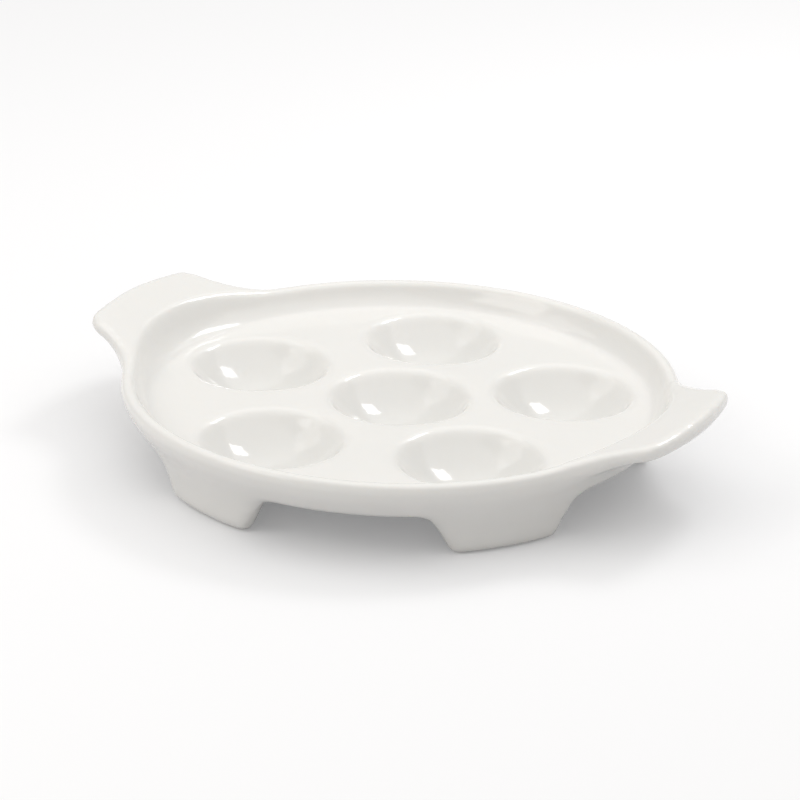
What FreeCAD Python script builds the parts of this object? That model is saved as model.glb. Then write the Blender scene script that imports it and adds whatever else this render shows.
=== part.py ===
# A round white porcelain plate with six bowls and two lug handles, cast in one piece.
#
# The plate stands on five broad feet, left where five arches are cut from the skirt under its floor.
# Six bowls hang from its floor: one in the middle and five in a ring, one over each foot.
# The origin is the middle of the plane that the feet stand on. +Z is up, and the handles lie along X.
import FreeCAD, Part
import math
import os

# Driving dimensions, in millimetres and degrees.
rim_radius = 82.5          # outside radius of the round rim
plate_height = 25.0        # table to the crest of the rim
wall = 3.2                 # thickness of the floor and the bowls
lip_width = 3.6            # thickness of the rim at its crest
lip_round = 1.6            # rounding of the crest's inner edge
rim_edge_round = 1.7       # rounding of the upper edge round the rim and the handles
floor_drop = 7.3           # crest of the rim down to the flat floor
flank_run = 3.2            # how far the inner flank comes in on its way down
floor_round = 5.0          # hollow rounding between the floor and the flank
bulge_reach = 2.0          # how far the inner flank reaches out towards the handles
bulge_radius = 62.0        # radius of the flank's crest there, seen from above
bulge_blend = 60.0         # hollow rounding between that arc and the round crest
skirt_inset = 6.5          # how far in from the rim the skirt's face would be at the crest's level
foot_inset = 7.5           # how far in from the rim the skirt's face is at the table
skirt_wall = 8.0           # thickness of the skirt
skirt_round = 24.0         # hollow rounding between the skirt and the underside of rim and handles
under_round = 3.0          # hollow rounding between the skirt and the underside

well_count = 5             # bowls in the ring, and feet and arches under it
well_gap = 3.3             # land between the middle bowl and each bowl of the ring
well_land = 0.5            # land between a bowl of the ring and the rounding of the flank
bowl_clearance = 2.6       # underside of the bowls to the table
well_edge_round = 3.0      # rounding of the bowls' edges
ring_start = 180.0         # direction of the first bowl of the ring

arch_top_width = 46.0      # width of an arch between its top corners
arch_bottom_width = 57.0   # width of an arch at the table
arch_drop = 12.6           # crest of the rim down to the top of the arches
arch_round = 4.0           # rounding of the arches' top corners
arch_edge_round = 3.0      # rounding of the edges of the arches and the feet

handle_reach = 15.7        # how far a handle stands out past the rim
handle_tip_width = 52.0    # width of a handle across its outer corners
handle_root_width = 62.0   # width of a handle where its sides meet the rim
handle_thickness = 5.6     # upright thickness of a handle at its tip
handle_rise = 8.0          # how far a handle's tip stands above the crest of the rim
ramp_inset = 12.5          # how far inside the rim the plate's top starts to rise to the handles
ramp_round = 25.0          # hollow rounding of that start
under_slope = 0.30         # rise of a handle's underside over its run
handle_corner_round = 8.0  # rounding of a handle's outer corners, seen from above
handle_root_round = 30.0   # hollow rounding where a handle grows out of the rim
handle_edge_round = 3.0    # rounding of the lower edge round the rim and the handles

# Sizes that follow from them.
floor_height = plate_height - floor_drop
underside_height = floor_height - wall
foot_radius = rim_radius - foot_inset
skirt_slope = (foot_inset - skirt_inset) / plate_height
crest_radius = rim_radius - lip_width
tip_radius = rim_radius + handle_reach
tip_height = plate_height + handle_rise
ramp_start = rim_radius - ramp_inset
ramp_slope = handle_rise / (tip_radius - ramp_start)
bulge_centre = crest_radius + bulge_reach - bulge_radius
arch_height = plate_height - arch_drop
ring_step = 360.0 / well_count
floor_flat_radius = (crest_radius - flank_run
                     - floor_round * math.tan(math.atan2(floor_drop, flank_run) / 2))
mouth_radius = (floor_flat_radius - well_land - well_gap) / 3
ring_radius = floor_flat_radius - well_land - mouth_radius
well_depth = underside_height - bowl_clearance
bowl_radius = (mouth_radius ** 2 / well_depth + well_depth) / 2 - well_edge_round
bowl_centre_height = floor_height - well_depth + bowl_radius
beyond = 2 * tip_radius     # past the whole plate
close = 1e-3                # lengths nearer than this count as equal


def vec(x, y, z=0.0):
    return FreeCAD.Vector(x, y, z)


def skirt_radius(height):
    """The radius of the skirt's outer face."""
    return foot_radius + skirt_slope * height


def middle_of(edge):
    return edge.valueAt((edge.FirstParameter + edge.LastParameter) / 2)


def rounded_wire(corners):
    """A closed wire through (point, rounding) corners: straight runs joined by tangent arcs."""
    bends = []
    for i, (corner, rounding) in enumerate(corners):
        before = (corners[i - 1][0] - corner).normalize()
        after = (corners[(i + 1) % len(corners)][0] - corner).normalize()
        half_angle = before.getAngle(after) / 2
        reach = rounding / math.tan(half_angle)
        inward = (before + after).normalize() * (rounding / math.sin(half_angle) - rounding)
        bends.append((corner + before * reach, corner + inward, corner + after * reach, rounding))
    edges = []
    for i, (start, middle, end, rounding) in enumerate(bends):
        if rounding:
            edges.append(Part.Arc(start, middle, end).toShape())
        edges.append(Part.LineSegment(end, bends[(i + 1) % len(bends)][0]).toShape())
    return Part.Wire(edges)


def turned(section):
    """A solid of revolution about Z, from (radius, height, rounding) corners."""
    wire = rounded_wire([(vec(radius, 0, height), rounding) for radius, height, rounding in section])
    return Part.Face(wire).revolve(vec(0, 0), vec(0, 0, 1), 360)


def turned_body():
    """The floor, rim, handle flange and skirt as a solid block, as if the handles ran all the way round."""
    under_tip = tip_height - handle_thickness
    # The height at which the skirt, carried on upwards, meets the underside of the flange.
    meeting = (under_tip - under_slope * (tip_radius - foot_radius)) / (1 - under_slope * skirt_slope)
    # The rounding there has to end above that of the feet's edges.
    half_angle = (math.pi / 2 + math.atan(under_slope) + math.atan(skirt_slope)) / 2
    room = (meeting - arch_edge_round - close) * math.tan(half_angle)
    return turned([
        (0, tip_height, 0),
        (tip_radius, tip_height, 0),
        (tip_radius, under_tip, 0),
        (skirt_radius(meeting), meeting, min(skirt_round, room)),
        (foot_radius, 0, 0),
        (foot_radius - skirt_wall, 0, 0),
        (skirt_radius(underside_height) - skirt_wall, underside_height, under_round),
        (0, underside_height, 0),
    ])


def above_top():
    """All that lies above the plate's top: level between the handles' ramps, rising beyond them."""
    far_height = plate_height + ramp_slope * (beyond - ramp_start)
    wire = rounded_wire([
        (vec(-beyond, -beyond, far_height), 0),
        (vec(-ramp_start, -beyond, plate_height), ramp_round),
        (vec(ramp_start, -beyond, plate_height), ramp_round),
        (vec(beyond, -beyond, far_height), 0),
        (vec(beyond, -beyond, beyond), 0),
        (vec(-beyond, -beyond, beyond), 0),
    ])
    return Part.Face(wire).extrude(vec(0, 2 * beyond))


def dish_wire(spread, height):
    """The inner flank's outline at one height, spread evenly: the round crest with a bulge to each handle."""
    to_blend = crest_radius + bulge_blend
    to_bulge = bulge_radius + bulge_blend
    blend_x = (to_blend ** 2 - to_bulge ** 2 + bulge_centre ** 2) / (2 * bulge_centre)
    on_round = math.acos(blend_x / to_blend)
    blend_y = to_blend * math.sin(on_round)
    on_bulge = math.atan2(blend_y, blend_x - bulge_centre)
    half_turn = math.pi
    arcs = []
    for side in (0, half_turn):
        cx, bx, by = [size * math.cos(side) for size in (bulge_centre, blend_x, blend_y)]
        arcs.append((cx, 0, bulge_radius + spread, side - on_bulge, side + on_bulge))
        arcs.append((bx, by, bulge_blend - spread, side + on_bulge + half_turn, side + on_round + half_turn))
        arcs.append((0, 0, crest_radius + spread, side + on_round, side + half_turn - on_round))
        arcs.append((-bx, by, bulge_blend - spread, side - on_round, side - on_bulge))
    return Part.Wire([arc_edge(*arc, height) for arc in arcs])


def arc_edge(x, y, radius, start, end, height):
    """An arc about an upright axis, from its middle, radius and end directions."""
    def at(turn):
        return vec(x + radius * math.cos(turn), y + radius * math.sin(turn), height)
    return Part.Arc(at(start), at((start + end) / 2), at(end)).toShape()


def dish():
    """The hollow inside the rim, down to the floor and up past the handles, with its foot rounded."""
    lean = flank_run / floor_drop
    past = 2 * handle_rise
    hollow = Part.makeLoft([dish_wire(-flank_run, floor_height), dish_wire(lean * past, plate_height + past)],
                           True, True)
    foot = [edge for edge in hollow.Edges if edge.BoundBox.ZMax < floor_height + close]
    return hollow.makeFillet(floor_round, foot)


def is_upright(edge):
    low, high = edge.Vertexes[0].Point, edge.Vertexes[-1].Point
    return math.hypot(low.x - high.x, low.y - high.y) < close < abs(low.z - high.z)


def outline_prism():
    """The plate's outline seen from above, as a tall prism: the round rim and both handles."""
    tip_half, root_half = handle_tip_width / 2, handle_root_width / 2
    tip_x = math.sqrt(tip_radius ** 2 - tip_half ** 2)
    root_x = math.sqrt(rim_radius ** 2 - root_half ** 2)
    taper = (root_half - tip_half) / (tip_x - root_x)
    middle_half = root_half + taper * root_x
    far_half = middle_half - taper * tip_radius
    corners = [vec(tip_radius, far_half), vec(0, middle_half), vec(-tip_radius, far_half),
               vec(-tip_radius, -far_half), vec(0, -middle_half), vec(tip_radius, -far_half)]
    bar = Part.Face(Part.makePolygon(corners + corners[:1])).extrude(vec(0, 0, beyond))
    prism = bar.common(Part.makeCylinder(tip_radius, beyond))
    prism = prism.fuse(Part.makeCylinder(rim_radius, beyond)).removeSplitter()
    for radius, rounding in ((tip_radius, handle_corner_round), (rim_radius, handle_root_round)):
        uprights = [edge for edge in prism.Edges if is_upright(edge)
                    and abs(math.hypot(middle_of(edge).x, middle_of(edge).y) - radius) < close]
        prism = prism.makeFillet(rounding, uprights)
    return prism


def outline_edges(body, upper):
    """The upper or lower edges of the upright walls that the outline leaves."""
    chosen = []
    for face in body.Faces:
        u_start, u_end, v_start, v_end = face.ParameterRange
        if abs(face.normalAt((u_start + u_end) / 2, (v_start + v_end) / 2).z) > close:
            continue
        for edge in face.Edges:
            if not is_upright(edge) and (middle_of(edge).z > face.CenterOfMass.z) == upper:
                chosen.append(edge)
    return chosen


def blank():
    """The plate before its bowls and arches, with its outline and its dish cut and rounded."""
    body = turned_body().common(outline_prism()).cut(above_top()).Solids[0]
    body = body.makeFillet(handle_edge_round, outline_edges(body, False))
    body = body.makeFillet(rim_edge_round, outline_edges(body, True))
    hollow = dish()
    body = body.cut(hollow).Solids[0]
    crest = [edge for edge in body.Edges if middle_of(edge).z > plate_height - close
             and hollow.isInside(middle_of(edge), close, True)]
    return body.makeFillet(lip_round, crest)


def bowl_places():
    """The middles of the six bowls: one on the axis, the others in a ring."""
    ring = [FreeCAD.Rotation(vec(0, 0, 1), ring_start + i * ring_step).multVec(vec(ring_radius, 0))
            for i in range(well_count)]
    return [vec(0, 0)] + ring


def spheres(radius):
    return [Part.makeSphere(radius, place + vec(0, 0, bowl_centre_height)) for place in bowl_places()]


def add_bowls(body):
    """Hangs the bowls' shells under the floor, hollows them and rounds their edges."""
    below_floor = Part.makeCylinder(rim_radius, floor_height - wall / 2)
    shells = [sphere.common(below_floor) for sphere in spheres(bowl_radius + wall)]
    body = body.fuse(shells).cut(spheres(bowl_radius)).removeSplitter().Solids[0]
    mouths = [edge for edge in body.Edges
              if edge.Closed and abs(edge.CenterOfMass.z - floor_height) < close
              and edge.Curve.Radius < mouth_radius]
    return body.makeFillet(well_edge_round, mouths)


def arch_blocks():
    """One block for each arch, between the feet: a round-cornered opening as deep as the skirt."""
    bottom = -arch_height
    flare = (arch_bottom_width - arch_top_width) / 2 / arch_height
    top_half = arch_top_width / 2
    bottom_half = top_half + flare * (arch_height - bottom)
    opening = rounded_wire([
        (vec(0, -bottom_half, bottom), 0),
        (vec(0, bottom_half, bottom), 0),
        (vec(0, top_half, arch_height), arch_round),
        (vec(0, -top_half, arch_height), arch_round),
    ])
    block = Part.Face(opening).extrude(vec(beyond, 0))
    core_inset = skirt_wall + skirt_wall / 2
    block = block.cut(Part.makeCone(skirt_radius(bottom) - core_inset, skirt_radius(arch_height) - core_inset,
                                    arch_height - bottom, vec(0, 0, bottom)))
    blocks = []
    for i in range(well_count):
        turned_block = block.copy()
        turned_block.rotate(vec(0, 0), vec(0, 0, 1), ring_start + (i + 0.5) * ring_step)
        blocks.append(turned_block)
    return blocks


def cut_arches(body):
    """Cuts the arches out of the skirt, and rounds their edges and those of the feet."""
    blocks = arch_blocks()
    body = body.cut(blocks).Solids[0]
    edges = [edge for edge in body.Edges
             if middle_of(edge).z < close or edge.Curve.TypeId != "Part::GeomLine"
             and any(block.isInside(middle_of(edge), close, True) for block in blocks)]
    return body.makeFillet(arch_edge_round, edges)


plate = add_bowls(cut_arches(blank())).Solids[0]
os.makedirs("parts", exist_ok=True)
plate.exportStep("parts/plate.step")
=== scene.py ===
# Looks for the white porcelain plate with six bowls: its glaze, the bare clay under its feet,
# a white studio floor, soft light, and a camera at the photograph's angle.
import math

import bpy
import numpy as np
from mathutils import Matrix, Vector


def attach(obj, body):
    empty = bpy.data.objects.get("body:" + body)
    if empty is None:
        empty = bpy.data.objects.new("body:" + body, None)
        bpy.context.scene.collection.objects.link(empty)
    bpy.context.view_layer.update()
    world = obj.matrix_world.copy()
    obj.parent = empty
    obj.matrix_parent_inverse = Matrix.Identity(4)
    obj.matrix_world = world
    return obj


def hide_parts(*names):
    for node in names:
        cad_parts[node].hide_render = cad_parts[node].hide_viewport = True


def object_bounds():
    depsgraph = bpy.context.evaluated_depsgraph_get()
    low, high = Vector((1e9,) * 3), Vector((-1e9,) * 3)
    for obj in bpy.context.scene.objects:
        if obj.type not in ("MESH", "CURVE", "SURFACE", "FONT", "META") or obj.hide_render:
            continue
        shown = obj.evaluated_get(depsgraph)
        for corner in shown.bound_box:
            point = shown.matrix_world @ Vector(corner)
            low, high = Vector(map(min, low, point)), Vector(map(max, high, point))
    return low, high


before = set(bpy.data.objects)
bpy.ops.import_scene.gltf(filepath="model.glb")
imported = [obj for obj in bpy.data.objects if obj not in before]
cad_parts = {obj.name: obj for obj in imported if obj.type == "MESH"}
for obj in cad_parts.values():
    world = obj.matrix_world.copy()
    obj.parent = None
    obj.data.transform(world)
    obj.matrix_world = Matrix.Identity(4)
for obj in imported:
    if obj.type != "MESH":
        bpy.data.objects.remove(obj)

cad_low, cad_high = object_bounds()
centre = (cad_low + cad_high) / 2
length = cad_high.x - cad_low.x

# Lengths are in metres, angles in degrees, and the lens and its sensor in millimetres.
# A pair of values says where a mask's smooth step from 0 to 1, or back, begins and ends.

# The plate's own sizes.
rim_radius = round(cad_high.y, 4)  # to a tenth of a millimetre
crest_height = 0.025  # from the table to the crest of the round rim
dish_height = 0.0177  # from the table to the floor of the dish

# The camera.
view_azimuth = 29.75
view_elevation = 22.36
view_roll = 1.0
view_distance = 4.2 * length
view_reach = 100 * length  # how far off things are still drawn
view_lens = 125.0
sensor_width = 36.0

# The glaze's even skin, and how it is smoothed.
skin_cell = 0.00095  # size of the cells of its mesh
skin_pull = 0.5  # how far a round moves a point, as a share of the way to its neighbours' middle
skin_rounds = 6  # rounds for the whole plate
rim_rounds = 30  # further rounds for the band under the rim
rim_band = (rim_radius - 0.008, rim_radius - 0.006)  # distances from the axis where the band begins
rim_band_foot = (0.007, 0.010)  # heights where it begins
rim_band_top = (crest_height - 0.004, crest_height - 0.0025)  # heights where it ends

# Where the glaze leaves the clay bare, and where shade is painted into hollows and bowls and a highlight
# onto edges. A facing is the upright part of the surface's normal.
bare_height = (0.0, 0.0003)  # heights where the bare rings end
bare_wander = 0.0008  # how much higher the noise can carry that edge
bare_facing = (-0.80, -0.55)  # facings where the bare rings end
bowl_height = (dish_height - 0.0092, dish_height - 0.0007)  # heights where the painted shade in the bowls ends
bowl_facing = (0.10, 0.30)  # facings where it begins
hollow_limits = (0.40, 0.49)  # pointiness where the painted shade of hollows ends
edge_limits = (0.53, 0.62)  # pointiness where the painted highlight on edges begins
cloud_limits = (0.38, 0.68)  # noise where clouds begin
cloud_share = 0.25
# Shares of the painted shade in hollows and of the painted highlight on edges.
hollow_shade_share = 0.6
edge_highlight_share = 0.85

# The surface of the glaze and of the bare clay.
glaze_roughness = 0.07  # where the glaze is smoothest
glaze_unevenness = 0.07  # how much rougher the noise can make it
glaze_ior = 1.52
scatter_share = 0.12  # how much of the light goes some way through the glaze
scatter_reach = (0.003, 0.0026, 0.0022)  # how far it goes: red, green and blue
clay_roughness = 0.75
speck_limits = (0.66, 0.74)  # noise where the clay's dark specks begin
wave_height = 0.00030
peel_height = 0.000012
grain_height = 0.00008
relief_strength = 0.5

# The floor and the world. Only the camera and reflections see the floor's glow: it lights nothing.
floor_size = 60 * length
mottle_limits = (0.3, 0.7)  # noise where the floor's darker patches begin
mottle_share = 0.04
glow_near = 0.190  # strength of the glow under the plate
glow_gain = 0.41  # what is added to it further out
glow_limits = (0.0, 1.8)  # distances where that comes in
world_light = 0.60
world_seen = 1.0

# Colours are linear.
glaze_white = (0.800, 0.791, 0.772, 1)
# The glaze's cloudy tone, which is also its painted shade in hollows; its painted shade in the bowls; its
# painted highlight on edges.
glaze_cloud_and_shade = (0.752, 0.752, 0.735, 1)
glaze_bowl_shade = (0.722, 0.717, 0.698, 1)
glaze_edge_highlight = (0.865, 0.850, 0.825, 1)
clay_bare = (0.62, 0.585, 0.53, 1)
clay_speck = (0.36, 0.31, 0.26, 1)
floor_white = (0.70, 0.70, 0.71, 1)
floor_shade = (0.66, 0.66, 0.67, 1)
floor_glow = (0.985, 0.99, 1.0, 1)
plain_light = (1, 1, 1)
warm_light = (1, 0.985, 0.955)


class Nodes:
    """Adds nodes to one material and joins them up."""

    def __init__(self, name):
        self.material = bpy.data.materials.new(name)
        self.material.use_nodes = True
        self.tree = self.material.node_tree
        self.tree.nodes.clear()

    def add(self, kind, settings=None, **inputs):
        """A node of one kind. An input's name has _ for a space, and an input given a socket is linked."""
        node = self.tree.nodes.new("ShaderNode" + kind)
        for key, value in (settings or {}).items():
            setattr(node, key, value)
        for key, value in inputs.items():
            self.put(node, key.replace("_", " "), value)
        return node

    def put(self, node, key, value):
        """Links a socket to a node's input, or sets the input to a value. The key is a name or a number."""
        if isinstance(value, bpy.types.NodeSocket):
            self.tree.links.new(value, node.inputs[key])
        else:
            node.inputs[key].default_value = value

    def math(self, operation, a, b):
        node = self.add("Math", {"operation": operation})
        self.put(node, 0, a)
        self.put(node, 1, b)
        return node.outputs[0]

    def times(self, a, b):
        return self.math("MULTIPLY", a, b)

    def plus(self, a, b):
        return self.math("ADD", a, b)

    def rise(self, value, limits):
        """0 below the lower limit, 1 above the upper one, and a smooth step between."""
        low, high = limits
        settings = {"interpolation_type": "SMOOTHSTEP"}
        return self.add("MapRange", settings, Value=value, From_Min=low, From_Max=high).outputs["Result"]

    def fall(self, value, limits):
        """The reverse: 1 below the lower limit and 0 above the upper one."""
        return self.math("SUBTRACT", 1.0, self.rise(value, limits))

    def mix(self, share, a, b):
        """A colour that goes from a to b as the share goes from 0 to 1."""
        node = self.add("Mix", {"data_type": "RGBA"})
        for key, value in ((0, share), (6, a), (7, b)):
            self.put(node, key, value)
        return node.outputs[2]

    def mix_number(self, share, a, b):
        node = self.add("Mix", {"data_type": "FLOAT"})
        for key, value in ((0, share), (2, a), (3, b)):
            self.put(node, key, value)
        return node.outputs[0]

    def noise(self, place, scale, detail):
        return self.add("TexNoise", Vector=place, Scale=scale, Detail=detail, Roughness=0.5).outputs["Fac"]

    def finish(self, shader):
        self.tree.links.new(shader, self.add("OutputMaterial").inputs["Surface"])
        return self.material


def porcelain():
    """White glaze with painted shade in its hollows and bowls and a painted highlight on its edges, that
    leaves the feet's rings bare.
    """
    nodes = Nodes("glazed_porcelain")
    place = nodes.add("TexCoord").outputs["Object"]
    geometry = nodes.add("NewGeometry")
    pointed = geometry.outputs["Pointiness"]
    up = nodes.add("SeparateXYZ", Vector=place).outputs["Z"]
    facing = nodes.add("SeparateXYZ", Vector=geometry.outputs["Normal"]).outputs["Z"]

    # The bare rings: low down and facing the table, with an edge that wanders a little.
    wander = nodes.times(nodes.noise(place, scale=160, detail=3), bare_wander)
    low = nodes.fall(nodes.math("SUBTRACT", up, wander), bare_height)
    bare = nodes.times(low, nodes.fall(facing, bare_facing))

    # The glaze's colour: cloudy over centimetres, with painted shade in hollows and deeper painted shade in
    # the bowls, and a painted highlight on edges.
    cloud = nodes.rise(nodes.noise(place, scale=28, detail=3), cloud_limits)
    hollow_shade = nodes.fall(pointed, hollow_limits)
    bowl_shade = nodes.times(nodes.fall(up, bowl_height), nodes.rise(facing, bowl_facing))
    edge_highlight = nodes.rise(pointed, edge_limits)
    colour = nodes.mix(nodes.times(cloud, cloud_share), glaze_white, glaze_cloud_and_shade)
    colour = nodes.mix(nodes.times(hollow_shade, hollow_shade_share), colour, glaze_cloud_and_shade)
    colour = nodes.mix(bowl_shade, colour, glaze_bowl_shade)
    colour = nodes.mix(nodes.times(edge_highlight, edge_highlight_share), colour, glaze_edge_highlight)

    # Bare clay: warm and matt, with fine dark specks.
    specks = nodes.rise(nodes.noise(place, scale=2600, detail=1), speck_limits)
    clay = nodes.mix(specks, clay_bare, clay_speck)
    colour = nodes.mix(bare, colour, clay)

    # The glaze isn't equally smooth all over.
    uneven = nodes.times(nodes.noise(place, scale=60, detail=4), glaze_unevenness)
    rough = nodes.mix_number(bare, nodes.plus(glaze_roughness, uneven), clay_roughness)

    # The glaze's slow waves and fine orange peel, and the grain of the bare clay.
    waves = nodes.times(nodes.noise(place, scale=45, detail=2), wave_height)
    peel = nodes.times(nodes.noise(place, scale=420, detail=2), peel_height)
    grain = nodes.times(nodes.times(nodes.noise(place, scale=1900, detail=3), grain_height), bare)
    relief = nodes.plus(nodes.plus(waves, peel), grain)
    bump = nodes.add("Bump", Height=relief, Strength=relief_strength, Distance=1.0)

    shader = nodes.add("BsdfPrincipled", Base_Color=colour, Roughness=rough, Normal=bump.outputs[0])
    shader.inputs["IOR"].default_value = glaze_ior
    shader.inputs["Subsurface Weight"].default_value = scatter_share
    shader.inputs["Subsurface Radius"].default_value = scatter_reach
    shader.inputs["Subsurface Scale"].default_value = 1.0
    return nodes.finish(shader.outputs[0])


def mesh_array(items, name, width, kind):
    """One property of all vertices or edges of a mesh, with a row for each."""
    values = np.empty(len(items) * width, dtype=kind)
    items.foreach_get(name, values)
    return values.reshape(-1, width)


def smooth_step(value, limits):
    """0 below the lower limit, 1 above the upper one, and a smooth step between."""
    low, high = limits
    share = np.clip((value - low) / (high - low), 0, 1)
    return share * share * (3 - 2 * share)


def soften(points, edges, share, rounds):
    """Moves each point by its own share towards the middle of its neighbours, some rounds over."""
    ends = np.concatenate([edges, edges[:, ::-1]])
    start, end = ends[:, 0], ends[:, 1]
    count = np.bincount(start, minlength=len(points))[:, None]
    for _ in range(rounds):
        total = np.stack([np.bincount(start, column[end], len(points)) for column in points.T], 1)
        points += share[:, None] * (total / count - points)


def smooth_skin(skin):
    """Rounds the fine edges of a mesh, most of all those under the rim, and keeps it in the CAD box."""
    points = mesh_array(skin.vertices, "co", 3, np.float64)
    edges = mesh_array(skin.edges, "vertices", 2, np.int32)
    soften(points, edges, np.full(len(points), skin_pull), skin_rounds)
    x, y, z = points.T
    under_rim = smooth_step(np.hypot(x, y), rim_band)
    under_rim *= smooth_step(z, rim_band_foot) * (1 - smooth_step(z, rim_band_top))
    soften(points, edges, skin_pull * under_rim, rim_rounds)
    points = np.clip(points, np.array(cad_low), np.array(cad_high))
    skin.vertices.foreach_set("co", points.ravel())
    skin.update()


def glazed(node):
    """The plate in its skin of glaze: the node's form, made anew from small even cells."""
    coat = bpy.data.objects.new("glazed_plate", node.data.copy())
    bpy.context.scene.collection.objects.link(coat)
    remesh = coat.modifiers.new("even_skin", "REMESH")
    remesh.mode = "VOXEL"
    remesh.voxel_size = skin_cell
    remesh.use_smooth_shade = True
    bpy.context.view_layer.update()
    skin = bpy.data.meshes.new_from_object(coat.evaluated_get(bpy.context.evaluated_depsgraph_get()))
    coat.modifiers.clear()
    coat.data = skin
    smooth_skin(skin)
    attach(coat, "root")
    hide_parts("plate")
    return coat


def studio_white():
    """A white that keeps shadows, and glows towards full white where the camera or a reflection sees it."""
    nodes = Nodes("studio_white")
    place = nodes.add("TexCoord").outputs["Object"]
    mottle = nodes.rise(nodes.noise(place, scale=3, detail=2), mottle_limits)
    colour = nodes.mix(nodes.times(mottle, mottle_share), floor_white, floor_shade)
    surface = nodes.add("BsdfDiffuse", Color=colour)
    rays = nodes.add("LightPath")
    seen = nodes.math("MAXIMUM", rays.outputs["Is Camera Ray"], rays.outputs["Is Glossy Ray"])
    away = nodes.add("VectorMath", {"operation": "LENGTH"}, Vector=place).outputs["Value"]
    lift = nodes.plus(glow_near, nodes.times(nodes.rise(away, glow_limits), glow_gain))
    glow = nodes.add("Emission", Color=floor_glow, Strength=nodes.times(seen, lift))
    both = nodes.add("AddShader")
    nodes.put(both, 0, surface.outputs[0])
    nodes.put(both, 1, glow.outputs[0])
    return nodes.finish(both.outputs[0])


def add_floor():
    """A wide level floor that the feet stand on."""
    bpy.ops.mesh.primitive_plane_add(size=floor_size, location=(centre.x, centre.y, cad_low.z))
    floor = bpy.context.object
    floor.name = "studio_floor"
    floor.data.materials.append(studio_white())


def add_world():
    """An even, faintly warm light from all round, which the camera sees brighter than it lights."""
    world = bpy.data.worlds.new("studio_world")
    bpy.context.scene.world = world
    world.use_nodes = True
    tree = world.node_tree
    background = tree.nodes["Background"]
    background.inputs["Color"].default_value = (*warm_light, 1)
    rays = tree.nodes.new("ShaderNodeLightPath")
    mix = tree.nodes.new("ShaderNodeMix")
    tree.links.new(rays.outputs["Is Camera Ray"], mix.inputs[0])
    mix.inputs[2].default_value = world_light
    mix.inputs[3].default_value = world_seen
    tree.links.new(mix.outputs[0], background.inputs["Strength"])


def direction(azimuth, elevation):
    """The way from the plate to a lamp or the camera: azimuth 0 is towards -Y, and 90 towards +X."""
    turn, tilt = math.radians(azimuth), math.radians(elevation)
    return Vector((math.sin(turn) * math.cos(tilt), -math.cos(turn) * math.cos(tilt), math.sin(tilt)))


def add_lamp(name, azimuth, elevation, reach, size, power, tint=plain_light):
    """A square soft box that faces the plate. Its reach and size are in lengths of the plate."""
    away = direction(azimuth, elevation)
    data = bpy.data.lights.new(name, "AREA")
    data.size = size * length
    data.energy = power
    data.color = tint
    lamp = bpy.data.objects.new(name, data)
    lamp.location = centre + away * reach * length
    lamp.rotation_euler = away.to_track_quat("Z", "Y").to_euler()
    bpy.context.scene.collection.objects.link(lamp)


def add_camera():
    """A camera that looks at the middle of the plate, with a slight roll."""
    away = direction(view_azimuth, view_elevation)
    data = bpy.data.cameras.new("camera")
    data.sensor_width = sensor_width
    data.lens = view_lens
    data.clip_end = view_reach
    camera = bpy.data.objects.new("camera", data)
    roll = Matrix.Rotation(math.radians(view_roll), 3, "Z")
    camera.rotation_euler = (away.to_track_quat("Z", "Y").to_matrix() @ roll).to_euler()
    camera.location = centre + away * view_distance
    bpy.context.scene.collection.objects.link(camera)
    bpy.context.scene.camera = camera


plate = glazed(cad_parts["plate"])
plate.data.materials.clear()
plate.data.materials.append(porcelain())

add_floor()
add_world()
add_lamp("top_box", azimuth=150, elevation=78, reach=3.4, size=5.5, power=2.5)
add_lamp("key_box", azimuth=165, elevation=50, reach=3.2, size=0.8, power=0.72)
add_lamp("fill_box", azimuth=-30, elevation=35, reach=4.0, size=2.0, power=1.05, tint=warm_light)
add_lamp("side_box", azimuth=-70, elevation=48, reach=4.0, size=2.0, power=0.5, tint=warm_light)
add_camera()
bpy.context.scene.view_settings.view_transform = "Standard"
